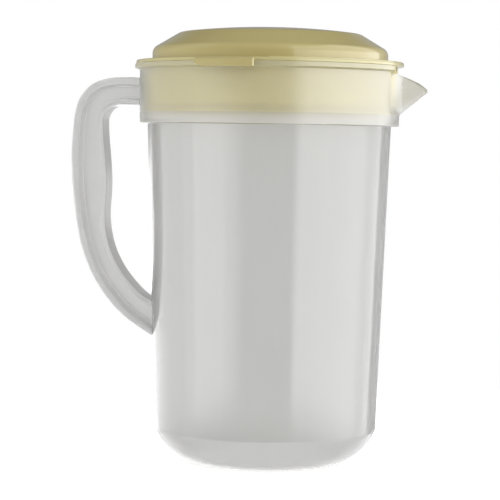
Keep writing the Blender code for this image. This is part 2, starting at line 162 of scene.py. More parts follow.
def offset_path(path: list[Point], distance: float) -> list[Point]:
    """Moves a path to its right-hand side, with corners on their mitres and points on the axis kept there.

    Args:
        path: Points of (radius, height).
        distance: How far it moves; a negative distance moves it to the left.

    Returns:
        The moved points, as many as the path has.
    """
    moved = []
    for i, (x, z) in enumerate(path):
        before = unit(path[max(i - 1, 0)], path[max(i, 1)])
        after = unit(path[min(i, len(path) - 2)], path[min(i + 1, len(path) - 1)])
        if x == 0:
            moved.append((0, z - distance / after[0]))
            continue
        scale = distance / (1 + before[0] * after[0] + before[1] * after[1])
        moved.append((x + (before[1] + after[1]) * scale, z - (before[0] + after[0]) * scale))
    return moved


def azimuth(place: Vector) -> float:
    """Returns a place's angle from +X."""
    return math.atan2(place.y, place.x)


def swing(mesh: BMesh, vertices: Iterable[BMVert], angle: float) -> None:
    """Turns vertices about Z."""
    bmesh.ops.rotate(mesh, verts=vertices, cent=(0, 0, 0), matrix=Matrix.Rotation(angle, 3, "Z"))


def score(mesh: BMesh, place: tuple[float, ...], normal: tuple[float, ...]) -> None:
    """Adds the edges along which a plane crosses a mesh."""
    parts = mesh.verts[:] + mesh.edges[:] + mesh.faces[:]
    bmesh.ops.bisect_plane(mesh, geom=parts, plane_co=place, plane_no=normal)


def round_off(mesh: BMesh, parts: list, offset: float, steps: int, affect: str = "EDGES") -> dict:
    """Rounds a mesh's edges or vertices.

    Args:
        mesh: The mesh.
        parts: Its edges or vertices that are rounded.
        offset: How far from them the round starts.
        steps: How many spans the round has.
        affect: EDGES or VERTICES.

    Returns:
        The faces, edges and vertices that this made.
    """
    return bmesh.ops.bevel(
        mesh, geom=parts, offset=offset, segments=steps, profile=0.5, affect=affect, material=-1
    )


def draw_section(corners: list[Corner], closed: bool) -> BMesh:
    """Draws a section as a wire in the XZ plane and rounds its corners with vertex bevels.

    Args:
        corners: The section's corners in order.
        closed: Whether the last corner joins the first.

    Returns:
        A mesh with the wire alone.
    """
    mesh = bmesh.new()
    points = [mesh.verts.new((c.radius, 0, c.height)) for c in corners]
    for pair in zip(points, points[1:]):
        mesh.edges.new(pair)
    if closed:
        mesh.edges.new((points[-1], points[0]))
    count = len(corners)
    for i, (vertex, corner) in enumerate(zip(points, corners)):
        if not corner.rounding:
            continue
        back = unit(corner.point, corners[i - 1].point)
        ahead = unit(corner.point, corners[(i + 1) % count].point)
        half = math.acos(max(-1, min(1, back[0] * ahead[0] + back[1] * ahead[1]))) / 2
        round_off(mesh, [vertex], corner.rounding / math.tan(half), corner.steps, "VERTICES")
    return mesh


def turn(mesh: BMesh, sweeps: list[Sweep], start: float = 0.0) -> BMesh:
    """Turns a drawn section about Z, in one sweep or several that differ in fineness.

    Args:
        mesh: The mesh that holds the section.
        sweeps: Angle and steps of each sweep.
        start: The angle that the first sweep starts from.

    Returns:
        The same mesh, with its doubles merged and its faces pointing outwards.
    """
    swing(mesh, mesh.verts, start)
    geometry = mesh.verts[:] + mesh.edges[:]
    whole = len(sweeps) == 1 and math.isclose(sweeps[0][0], FULL_TURN)
    for angle, steps in sweeps:
        spun = bmesh.ops.spin(
            mesh, geom=geometry, cent=(0, 0, 0), axis=(0, 0, 1), angle=angle, steps=steps, use_merge=whole
        )
        geometry = spun["geom_last"]
    bmesh.ops.remove_doubles(mesh, verts=mesh.verts, dist=MERGE_DISTANCE)
    bmesh.ops.recalc_face_normals(mesh, faces=mesh.faces)
    return mesh


def turned_wedge(corners: list[Corner], middle: float, half_angle: float, steps: int) -> BMesh:
    """Turns a closed section through a part of a circle and caps its two ends.

    Args:
        corners: The section's corners in order.
        middle: Angle of the wedge's middle, from +X.
        half_angle: Half of the angle that the wedge covers.
        steps: How many spans the wedge has.

    Returns:
        A mesh with the closed wedge.
    """
    mesh = draw_section(corners, closed=True)
    face = bmesh.ops.contextual_create(mesh, geom=mesh.edges[:])["faces"]
    swing(mesh, mesh.verts, middle - half_angle)
    bmesh.ops.spin(mesh, geom=face, cent=(0, 0, 0), axis=(0, 0, 1), angle=2 * half_angle, steps=steps)
    bmesh.ops.recalc_face_normals(mesh, faces=mesh.faces)
    return mesh


# Objects


def add_object(name: str, mesh: BMesh) -> Object:
    """Turns a bmesh into an object at the origin.

    Args:
        name: The object's name.
        mesh: The bmesh, which is freed.

    Returns:
        The new object.
    """
    data = bpy.data.meshes.new(name)
    mesh.to_mesh(data)
    mesh.free()
    item = bpy.data.objects.new(name, data)
    bpy.context.scene.collection.objects.link(item)
    return item


def apply_boolean(item: Object, mesh: BMesh, operation: str) -> None:
    """Cuts an object with a closed mesh, or joins the two, and keeps the result as the object's own mesh.

    Args:
        item: The object that is changed.
        mesh: The other shape, which is freed.
        operation: DIFFERENCE or UNION.
    """
    tool = add_object(item.name + "_tool", mesh)
    modifier = item.modifiers.new("shape", "BOOLEAN")
    modifier.object = tool
    modifier.operation = operation
    modifier.solver = "EXACT"
    graph = bpy.context.evaluated_depsgraph_get()
    made = bpy.data.meshes.new_from_object(item.evaluated_get(graph), depsgraph=graph)
    item.modifiers.clear()
    old, item.data = item.data, made
    made.name = item.name
    bpy.data.meshes.remove(old)
    bpy.data.objects.remove(tool, do_unlink=True)


def finish_piece(
    item: Object,
    node: str,
    body: Body,
    slot: Slot,
    materials: list[Material],
    zone: Callable[[Vector, Vector], IntEnum] | None = None,
) -> None:
    """Shades a piece, gives it its materials and puts it in the place of its CAD node.

    Args:
        item: The piece.
        node: The CAD node that it stands for.
        body: The body that it moves with.
        slot: The record's material slot; not used.
        materials: Its materials.
        zone: Says which of the materials a face takes, from the face's middle and normal.
    """
    item.data.materials.clear()
    for material in materials:
        item.data.materials.append(material)
    for face in item.data.polygons:
        face.material_index = zone(face.center, face.normal) if zone else 0
    item.data.shade_smooth()
    item.data.set_sharp_from_angle(angle=SHARP_ANGLE)
    even = item.modifiers.new("even_shading", "WEIGHTED_NORMAL")
    even.keep_sharp = True
    even.weight = SHADING_WEIGHT
    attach(item, body.value)
    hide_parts(node)
    LOG.info("%s rides on %s with %d vertices", item.name, body.value, len(item.data.vertices))


# Node trees


class Nodes:
    """A node tree that is built up by short calls."""

    def __init__(self, tree: NodeTree) -> None:
        """Clears the tree and keeps it."""
        self.tree = tree
        tree.nodes.clear()

    def add(self, kind: str, inputs: dict | None = None, **settings) -> Node:
        """Adds a node, and joins or sets its inputs.

        Args:
            kind: The node's type without its ShaderNode prefix.
            inputs: Input names or numbers, each with an output socket to join or a value to set.
            **settings: The node's own properties.

        Returns:
            The new node.
        """
        node = self.tree.nodes.new("ShaderNode" + kind)
        for name, value in settings.items():
            setattr(node, name, value)
        for name, value in (inputs or {}).items():
            if isinstance(value, NodeSocket):
                self.tree.links.new(value, node.inputs[name])
            else:
                node.inputs[name].default_value = value
        return node

    def math(self, operation: str, *values: Value, clamp: bool = False) -> NodeSocket:
        """Works out two or more values one after the other, or one alone, with Math nodes.

        Args:
            operation: The nodes' operation.
            *values: The values.
            clamp: Whether each result is kept from 0 to 1.

        Returns:
            The last node's output.
        """

        def join(first: Value, second: Value) -> NodeSocket:
            """Adds one node and returns its output."""
            return self.add("Math", {0: first, 1: second}, operation=operation, use_clamp=clamp).outputs[0]

        return reduce(join, values) if len(values) > 1 else join(values[0], 0.0)

    def span(
        self, value: Value, low: float, high: float, to_low: float = 0.0, to_high: float = 1.0,
        smooth: bool = False,
    ) -> NodeSocket:
        """Adds a Map Range node that is clamped.

        Args:
            value: The value that is mapped.
            low: Where the mapped range starts.
            high: Where it ends.
            to_low: What the start becomes.
            to_high: What the end becomes.
            smooth: Whether the change eases in and out.

        Returns:
            The node's output socket.
        """
        inputs = {"Value": value, "From Min": low, "From Max": high, "To Min": to_low, "To Max": to_high}
        kind = "SMOOTHSTEP" if smooth else "LINEAR"
        return self.add("MapRange", inputs, interpolation_type=kind).outputs["Result"]

    def blend(self, factor: Value, first: Value, second: Value) -> NodeSocket:
        """Adds a colour mix and returns its output."""
        inputs = {"Factor": factor, "A": first, "B": second}
        return self.add("Mix", inputs, data_type="RGBA").outputs["Result"]

    def place(self) -> NodeSocket:
        """Adds the piece's own coordinates and returns them."""
        return self.add("TexCoord").outputs["Object"]

    def noise(self, place: NodeSocket, scale: Value, detail: float, **more: float) -> NodeSocket:
        """Adds a noise and returns its value."""
        inputs = {"Vector": place, "Scale": scale, "Detail": detail, **more}
        return self.add("TexNoise", inputs).outputs["Fac"]

    def about_half(self, noise: NodeSocket, contrast: NodeSocket) -> NodeSocket:
        """Spreads a noise about a half, and keeps it from 0 to 1."""
        spread = self.math("MULTIPLY", self.math("SUBTRACT", noise, 0.5), contrast)
        return self.math("ADD", spread, 0.5, clamp=True)

    def surface(self, shader: Node, output: str = "OutputMaterial") -> None:
        """Joins a shader to the tree's output."""
        self.add(output, {"Surface": shader.outputs[0]})


# Effects


HAZE_ROUGHNESS = 0.55
STREAK_RISE = 6.0               # how fast a streak changes with height
GRAIN_SCALE = 900.0
WAVE_SCALE = 26.0
PATCH_SCALE = 24.0
MARK_WAYS = ((0.3, 0.9, 22.0), (1.2, 2.3, 31.0), (2.1, 0.4, 26.0))  # two turns, and how long the marks are
MARK_TILT = 0.5
MARK_WIDTH = 0.012
MARK_PATCHES = (0.45, 0.7)      # noise where the patches with marks start, and where they are full


def haze(tree: Nodes, given: Inputs) -> NodeSocket:
    """Makes soft clouds in the plastic.

    Args:
        tree: The group's nodes.
        given: The group's inputs, Scale and Contrast.

    Returns:
        The haze, from 0 to 1 about a half.
    """
    noise = tree.noise(tree.place(), given["Scale"], detail=4.0, Roughness=HAZE_ROUGHNESS)
    return tree.about_half(noise, given["Contrast"])


def flow(tree: Nodes, given: Inputs) -> NodeSocket:
    """Makes upright streaks where the melt ran up the mould.

    Args:
        tree: The group's nodes.
        given: The group's inputs, Streaks and Contrast.

    Returns:
        The streaks, from 0 to 1 about a half.
    """
    parts = tree.add("SeparateXYZ", {"Vector": tree.place()}).outputs
    around = tree.add("CombineXYZ", {"X": parts["X"], "Y": parts["Y"]}).outputs[0]
    ring = tree.add("VectorMath", {0: around}, operation="NORMALIZE").outputs["Vector"]
    wide = tree.add("VectorMath", {0: ring, "Scale": given["Streaks"]}, operation="SCALE").outputs["Vector"]
    rise = tree.add("CombineXYZ", {"Z": tree.math("MULTIPLY", parts["Z"], STREAK_RISE)}).outputs[0]
    spot = tree.add("VectorMath", {0: wide, 1: rise}, operation="ADD").outputs["Vector"]
    return tree.about_half(tree.noise(spot, scale=1.0, detail=3.0), given["Contrast"])


def marks(tree: Nodes, given: Inputs) -> NodeSocket:
    """Makes hair-thin rubbed marks from washing and handling.

    Args:
        tree: The group's nodes.
        given: The group's inputs, Density and Amount.

    Returns:
        The marks, up to the amount on a mark.
    """
    place = tree.place()
    most = 0.0
    for turn_x, turn_z, stretch in MARK_WAYS:
        rotation = (turn_x, MARK_TILT, turn_z)
        turned = tree.add("Mapping", {"Vector": place, "Rotation": rotation, "Scale": (1.0, stretch, 1.0)})
        noise = tree.noise(turned.outputs[0], given["Density"], detail=2.0)
        near = tree.math("ABSOLUTE", tree.math("SUBTRACT", noise, 0.5))
        most = tree.math("MAXIMUM", most, tree.span(near, 0.0, MARK_WIDTH, 1.0, 0.0))
    patch = tree.span(tree.noise(place, PATCH_SCALE, detail=1.0), *MARK_PATCHES)
    return tree.math("MULTIPLY", most, patch, given["Amount"])


def skin(tree: Nodes, given: Inputs) -> NodeSocket:
    """Makes the moulded surface: a fine grain over slow waves.

    Args:
        tree: The group's nodes.
        given: The group's inputs, Grain and Waviness.

    Returns:
        The surface's height.
    """
    place = tree.place()
    fine = tree.math("MULTIPLY", tree.noise(place, GRAIN_SCALE, detail=2.0), given["Grain"])
    slow = tree.math("MULTIPLY", tree.noise(place, WAVE_SCALE, detail=1.0), given["Waviness"])
    return tree.math("ADD", fine, slow)


@dataclass(frozen=True)
class Effect:
    """A shader node group that more than one finish uses."""

    name: str
    output: str
    fill: Callable[[Nodes, Inputs], NodeSocket]

    def use(self, nodes: Nodes, **values: float) -> NodeSocket:
        """Places the group in a material, and builds it on its first use.

        Args:
            nodes: The material's nodes.
            **values: What its inputs are set to.

        Returns:
            The group's output socket.
        """
        tree = bpy.data.node_groups.get(self.name)
        if not tree:
            tree = bpy.data.node_groups.new(self.name, "ShaderNodeTree")
            for label in values:
                tree.interface.new_socket(label, in_out="INPUT", socket_type="NodeSocketFloat")
            tree.interface.new_socket(self.output, in_out="OUTPUT", socket_type="NodeSocketFloat")
            inner = Nodes(tree)
            entry = tree.nodes.new("NodeGroupInput")
            made = self.fill(inner, {label: entry.outputs[label] for label in values})
            tree.links.new(made, tree.nodes.new("NodeGroupOutput").inputs[self.output])
        node = nodes.tree.nodes.new("ShaderNodeGroup")
        node.node_tree = tree
        for label, value in values.items():
            node.inputs[label].default_value = value
        return node.outputs[0]


HAZE = Effect("moulding_haze", "Haze", haze)
FLOW = Effect("flow_streaks", "Flow", flow)
MARKS = Effect("rubbed_marks", "Scuff", marks)
SKIN = Effect("moulded_skin", "Height", skin)


# Finishes


@dataclass(frozen=True)
class Finish:
    """A moulded plastic's finish. Colours are linear."""

    name: str
    colour: tuple[float, float, float]
    clouded: tuple[float, float, float]
    roughness: float
    rough_spread: float = 0.06
    transmission: float = 0.0
    ior: float = 1.49
    coat: float = 1.0
    coat_roughness: float = 0.04
    coat_ior: float = 1.5
    haze_scale: float = 22.0
    haze_share: float = 0.6
    contrast: float = 2.2
    streaks: float = 14.0
    scuff: float = 0.5
    scuff_density: float = 18.0
    scuff_roughness: float = 0.15
    worn_coat_share: float = 0.75
    grain: float = 0.05
    waviness: float = 1.0
    bump: float = 0.25
    bump_depth: float = 0.0004

    def material(self) -> Material:
        """Builds the finish's material.

        Returns:
            The material, whose colour, roughness, coat and height vary over the surface.
        """
        made = bpy.data.materials.new(self.name)
        made.use_nodes = True
        nodes = Nodes(made.node_tree)
        clouds = HAZE.use(nodes, Scale=self.haze_scale, Contrast=self.contrast)
        streaks = FLOW.use(nodes, Streaks=self.streaks, Contrast=self.contrast)
        scuff = MARKS.use(nodes, Density=self.scuff_density, Amount=self.scuff)
        clouds = nodes.math("MULTIPLY", clouds, self.haze_share)
        cloud = nodes.math("ADD", clouds, nodes.math("MULTIPLY", streaks, 1 - self.haze_share))
        spread = self.rough_spread / 2
        rough = nodes.span(cloud, 0.0, 1.0, self.roughness - spread, self.roughness + spread)
        height = SKIN.use(nodes, Grain=self.grain, Waviness=self.waviness)
        bump = nodes.add("Bump", {"Strength": self.bump, "Distance": self.bump_depth, "Height": height})
        inputs = {
            "Base Color": nodes.blend(cloud, (*self.colour, 1), (*self.clouded, 1)),
            "Roughness": nodes.math("ADD", rough, nodes.math("MULTIPLY", scuff, self.scuff_roughness)),
            "Metallic": 0.0,
            "IOR": self.ior,
            "Transmission Weight": self.transmission,
            "Coat Weight": nodes.span(scuff, 0.0, 1.0, self.coat, self.coat * self.worn_coat_share),
            "Coat Roughness": self.coat_roughness,
            "Coat IOR": self.coat_ior,
            "Normal": bump.outputs["Normal"],
        }
        nodes.surface(nodes.add("BsdfPrincipled", inputs))
        return made


# Below the crease the jug plastic is painted lighter: painted light for the floor's glow on the base.
MILKY_BASE_PAINTED_LIGHT = Finish("milky_base_painted_light", (0.84, 0.84, 0.835), (0.81, 0.81, 0.80), 0.40, transmission=0.70, ior=1.15)
MILKY_WALL = Finish("milky_wall", (0.73, 0.73, 0.725), (0.70, 0.70, 0.69), 0.40, transmission=0.82, ior=1.15)
# The collar's foot is the jug plastic painted lighter and yellow: painted skirt glow and painted light under
# the step.
COLLAR_FOOT_PAINTED_LIGHT = Finish(
    "collar_foot", (0.89, 0.885, 0.85), (0.87, 0.865, 0.825), 0.36, transmission=0.78, ior=1.15,
    coat_roughness=0.25, coat_ior=1.6,
)
# The collar is the jug plastic painted lighter than the wall: painted light for the lid's skirt shining
# behind it.
CLEAR_COLLAR_PAINTED_LIGHT = Finish(
    "clear_collar_painted_light", (0.97, 0.97, 0.95), (0.95, 0.95, 0.93), 0.30, transmission=0.86, ior=1.15,
    coat_roughness=0.30, coat_ior=1.85, scuff=0.1,
)
MILKY_INSIDE = Finish(
    "milky_inside", (0.92, 0.92, 0.91), (0.90, 0.90, 0.89), 0.24, transmission=0.92, ior=1.15,
    coat=0.0, scuff=0.0, grain=0.0,
)
# The spout's beak is the jug plastic with a warm tint: a painted glow of the lid's yellow skirt.
MILKY_SPOUT_PAINTED_GLOW = Finish("milky_spout_painted_glow", (0.80, 0.79, 0.73), (0.78, 0.77, 0.71), 0.36, transmission=0.72, ior=1.15)
# The rim bead is the jug's white plastic painted yellow: a painted glow of the lid's flange and skirt.
MILKY_RIM_PAINTED_GLOW = Finish(
    "milky_rim_painted_glow", (0.87, 0.83, 0.59), (0.85, 0.81, 0.57), 0.36, transmission=0.50, ior=1.15,
    coat_roughness=0.30, coat_ior=1.75, scuff=0.2,
)
MILKY_GRIP = Finish("milky_grip", (0.92, 0.92, 0.915), (0.89, 0.89, 0.885), 0.40, transmission=0.60, ior=1.2)
STRAW_LID = Finish("straw_lid", (0.62, 0.535, 0.23), (0.595, 0.51, 0.22), 0.34, coat_ior=1.42, waviness=0.6)
# The skirt is the lid plastic painted brighter: painted light for the light reaching it through the lid and
# collar.
STRAW_SKIRT_PAINTED_GLOW = Finish(
    "straw_skirt_painted_glow", (0.87, 0.765, 0.30), (0.85, 0.74, 0.29), 0.40, coat=0.3, scuff=0.1, waviness=0.6
)
# The flange's edge is the lid plastic painted lighter: painted light through the thin edge, painted highlight
# on the step.
STRAW_EDGE_PAINTED_LIGHT = Finish("straw_edge_painted_light", (0.70, 0.63, 0.31), (0.67, 0.60, 0.29), 0.36, scuff=0.2, waviness=0.6)
PALE_SEAL = Finish("pale_seal", (0.80, 0.70, 0.33), (0.78, 0.68, 0.32), 0.5, coat=0.15, coat_roughness=0.3)


# Pieces


@dataclass
class JugBody:
    """The moulded jug: rounded base, tapering wall, collar, rim bead and spout."""

    foot_radius: float = 0.0465
    base_round: float = 0.034
    crease_radius: float = 0.0695
    crease_height: float = 0.0209
    shoulder_radius: float = 0.0760
    shoulder_height: float = 0.2105
    wall: float = 0.0018
    collar_step: float = 0.0049
    collar_height: float = 0.0368
    collar_draft: float = 0.0003
    collar_lip_round: float = 0.0005
    collar_foot: float = 0.0070
    rim_overhang: float = 0.0029
    rim_thickness: float = 0.0029
    rim_slope: float = 0.0008
    rim_top_round: float = 0.0003
    rim_foot_round: float = 0.0003
    rim_root_round: float = 0.0004
    inner_edge_round: float = 0.0005
    small_fillet: float = 0.0003
    spout_reach: float = 0.01789
    spout_half_angle: float = math.radians(19)
    spout_nose_angle: float = math.radians(1.3)
    spout_root_drop: float = 0.0297
    spout_tip_drop: float = 0.0152
    spout_notch_drop: float = 0.0045
    spout_nose_wall: float = 0.0030
    notch_ramp: float = math.radians(1)
    base_steps: int = 16
    turn_steps: int = 300
    spout_steps: int = 48
    ramp_steps: int = 3
    spout_rows: int = 22
    soft_share: float = 0.9
    soft_factor: float = 0.4
    soft_rounds: int = 2

    @property
    def collar_radius(self) -> float:
        """Outer radius at the foot of the collar."""
        return self.shoulder_radius + self.collar_step

    @property
    def collar_top_radius(self) -> float:
        """Outer radius at the top of the collar."""
        return self.collar_radius + self.collar_draft

    @property
    def rim_height(self) -> float:
        """Height of the rim's top."""
        return self.shoulder_height + self.collar_height

    @property
    def rim_radius(self) -> float:
        """Radius of the rim bead."""
        return self.collar_top_radius + self.rim_overhang

    @property
    def bore_radius(self) -> float:
        """Inner radius of the collar."""
        return self.collar_radius - self.wall

    def outside(self) -> list[Point]:
        """Draws the outside, with sharp corners.

        Returns:
            Its points, from the middle of the foot to the top of the rim.
        """
        base = arc_between(
            (self.foot_radius, 0), (self.crease_radius, self.crease_height), self.base_round, self.base_steps
        )
        return [
            (0, 0),
            *base,
            (self.shoulder_radius, self.shoulder_height),
            (self.collar_radius, self.shoulder_height),
            (self.collar_top_radius, self.rim_height),
        ]

    def section(self) -> list[Corner]:
        """Draws the wall in section.

        Returns:
            Its corners, from the middle of the foot over the rim to the middle of the floor.
        """
        outer = [Corner(r, z) for r, z in self.outside()]
        inner = [Corner(r, z) for r, z in offset_path(self.outside(), -self.wall)]
        outer[-3] = Corner(*outer[-3].point, self.small_fillet)
        outer[-2] = Corner(*outer[-2].point, self.collar_lip_round)
        inner[-3] = Corner(*inner[-3].point, self.small_fillet)
        inner[-2] = Corner(*inner[-2].point, self.small_fillet)
        inner[-1] = Corner(*inner[-1].point, self.inner_edge_round)
        underside = self.rim_height - self.rim_thickness
        rim = [
            Corner(self.collar_top_radius, underside - self.rim_slope, self.rim_root_round, 5),
            Corner(self.rim_radius, underside, self.rim_foot_round),
            Corner(self.rim_radius, self.rim_height, self.rim_top_round),
        ]
        return outer[:-1] + rim + inner[::-1]

    def spout_wall(self, angle: float, height: float, wall_radius: float, inset: float) -> float:
        """Finds how far the spout's wall is from the axis.

        Args:
            angle: Angle from +X.
            height: Height above the foot.
            wall_radius: Radius that the wall has beside the spout.
            inset: How far inside the outer face the wall is at the nose.

        Returns:
            The radius there; the beak's sides run straight in plan from its nose to the collar.
        """
        root = self.rim_height - self.spout_root_drop
        tip = self.rim_height - self.spout_tip_drop
        nose = self.collar_radius + self.spout_reach * (height - root) / (tip - root) - inset
        if nose <= wall_radius:
            return wall_radius
        side = wall_radius * math.sin(self.spout_half_angle)
        blunt = wall_radius * math.sin(self.spout_half_angle - self.spout_nose_angle)
        apex = nose * blunt / (side - nose * math.sin(self.spout_nose_angle))
        bent = math.hypot(angle, self.spout_nose_angle)
        beak = apex * side / (apex * math.sin(bent) + wall_radius * math.sin(self.spout_half_angle - bent))
        return max(wall_radius, beak)

    def spout_edge(self, angle: float) -> float:
        """Finds how high the spout's edge is.

        Args:
            angle: Angle from +X.

        Returns:
            The edge's height there.
        """
        notch = self.rim_height - self.spout_notch_drop
        tip = self.rim_height - self.spout_tip_drop
        advance = (self.spout_wall(angle, tip, self.collar_radius, 0) - self.collar_radius) / self.spout_reach
        return notch - (notch - tip) * advance

    def form_spout(self, mesh: BMesh) -> None:
        """Draws the collar out into the spout, lowers the rim there and softens the creases.

        Args:
            mesh: The turned jug.
        """
        ramp_end = self.spout_half_angle + self.notch_ramp
        root = self.rim_height - self.spout_root_drop
        uprights = [
            edge
            for edge in mesh.edges
            if all(v.co.z > self.shoulder_height for v in edge.verts)
            and all(abs(azimuth(v.co)) < ramp_end + MERGE_DISTANCE for v in edge.verts)
            and abs(edge.verts[0].co.z - edge.verts[1].co.z) > self.collar_height / 2
        ]
        bmesh.ops.subdivide_edges(mesh, edges=uprights, cuts=self.spout_rows, use_grid_fill=True)
        between = self.collar_radius - self.wall / 2
        soft = []
        for vertex in mesh.verts:
            angle = azimuth(vertex.co)
            if vertex.co.z <= root or abs(angle) >= ramp_end - MERGE_DISTANCE:
                continue
            radius = math.hypot(vertex.co.x, vertex.co.y)
            share = (vertex.co.z - root) / (self.rim_height - root)
            inside = min(1.0, (ramp_end - abs(angle)) / self.notch_ramp)
            ease = inside * inside * (3 - 2 * inside)
            edge_height = self.rim_height + (self.spout_edge(angle) - self.rim_height) * ease
            height = root + share * (edge_height - root)
            inset = 0 if radius > between else self.spout_nose_wall
            wall = min(radius, self.collar_top_radius)
            drawn = self.spout_wall(angle, height, wall, inset) + (radius - wall) * (1 - ease)
            vertex.co = (drawn * math.cos(angle), drawn * math.sin(angle), height)
            if share < self.soft_share and ease == 1:
                soft.append(vertex)
        for _ in range(self.soft_rounds):
            bmesh.ops.smooth_vert(mesh, verts=soft, factor=self.soft_factor, use_axis_x=True, use_axis_y=True)

    def zone(self, middle: Vector, normal: Vector) -> JugZone:
        """Finds which finish a face takes.

        Args:
            middle: The face's middle.
            normal: The face's normal.

        Returns:
            The finish's zone.
        """
        inwards = middle.xy.length > self.foot_radius and normal.xy.dot(middle.xy) < 0
        inside_floor = normal.z > FACING and middle.z < self.crease_height
        if (inwards and normal.z > -FACING) or inside_floor:
            return JugZone.INSIDE
        # Below the crease: the lighter base copy, painted light.
        if middle.z < self.crease_height:
            return JugZone.BASE
        # The collar step's underside lies at the shoulder and fails this test: painted light over the shade
        # under it.
        if middle.z < self.shoulder_height - MERGE_DISTANCE:
            return JugZone.WALL
        # The band under the skirt takes the lighter, yellow-tinted copy: painted glow of the skirt.
        if middle.z < self.shoulder_height + self.collar_foot:
            return JugZone.COLLAR_FOOT_PAINTED_LIGHT
        # The beak takes the warm-tinted copy: a painted glow of the yellow skirt.
        below_notch = middle.z < self.rim_height - self.spout_notch_drop
        if below_notch and middle.x > self.collar_top_radius + self.wall:
            return JugZone.SPOUT
        # The bead beside the spout takes the yellow-tinted copy: a painted glow of the lid's flange and
        # skirt.
        on_bead = middle.z > self.rim_height - self.rim_thickness - self.rim_slope
        beside_spout = abs(azimuth(middle)) > self.spout_half_angle
        outside = middle.xy.length > self.collar_top_radius
        # The rest of the collar takes the lighter copy: painted light from the skirt behind it.
        return JugZone.RIM if on_bead and beside_spout and outside else JugZone.COLLAR

    def build(self, materials: list[Material]) -> None:
        """Builds the jug body.

        Args:
            materials: Its finishes in the order of JugZone.
        """
        clear = self.spout_half_angle + self.notch_ramp
        sweeps = [
            (FULL_TURN - 2 * clear, self.turn_steps),
            (self.notch_ramp, self.ramp_steps),
            (2 * self.spout_half_angle, self.spout_steps),
            (self.notch_ramp, self.ramp_steps),
        ]
        mesh = turn(draw_section(self.section(), closed=False), sweeps, clear)
        self.form_spout(mesh)
        score(mesh, (0, 0, self.shoulder_height + self.collar_foot), (0, 0, 1))
        bmesh.ops.recalc_face_normals(mesh, faces=mesh.faces)
        item = add_object("jug_body_moulding", mesh)
        finish_piece(item, "jug_body", Body.JUG, Slot.FROSTED, materials, self.zone)


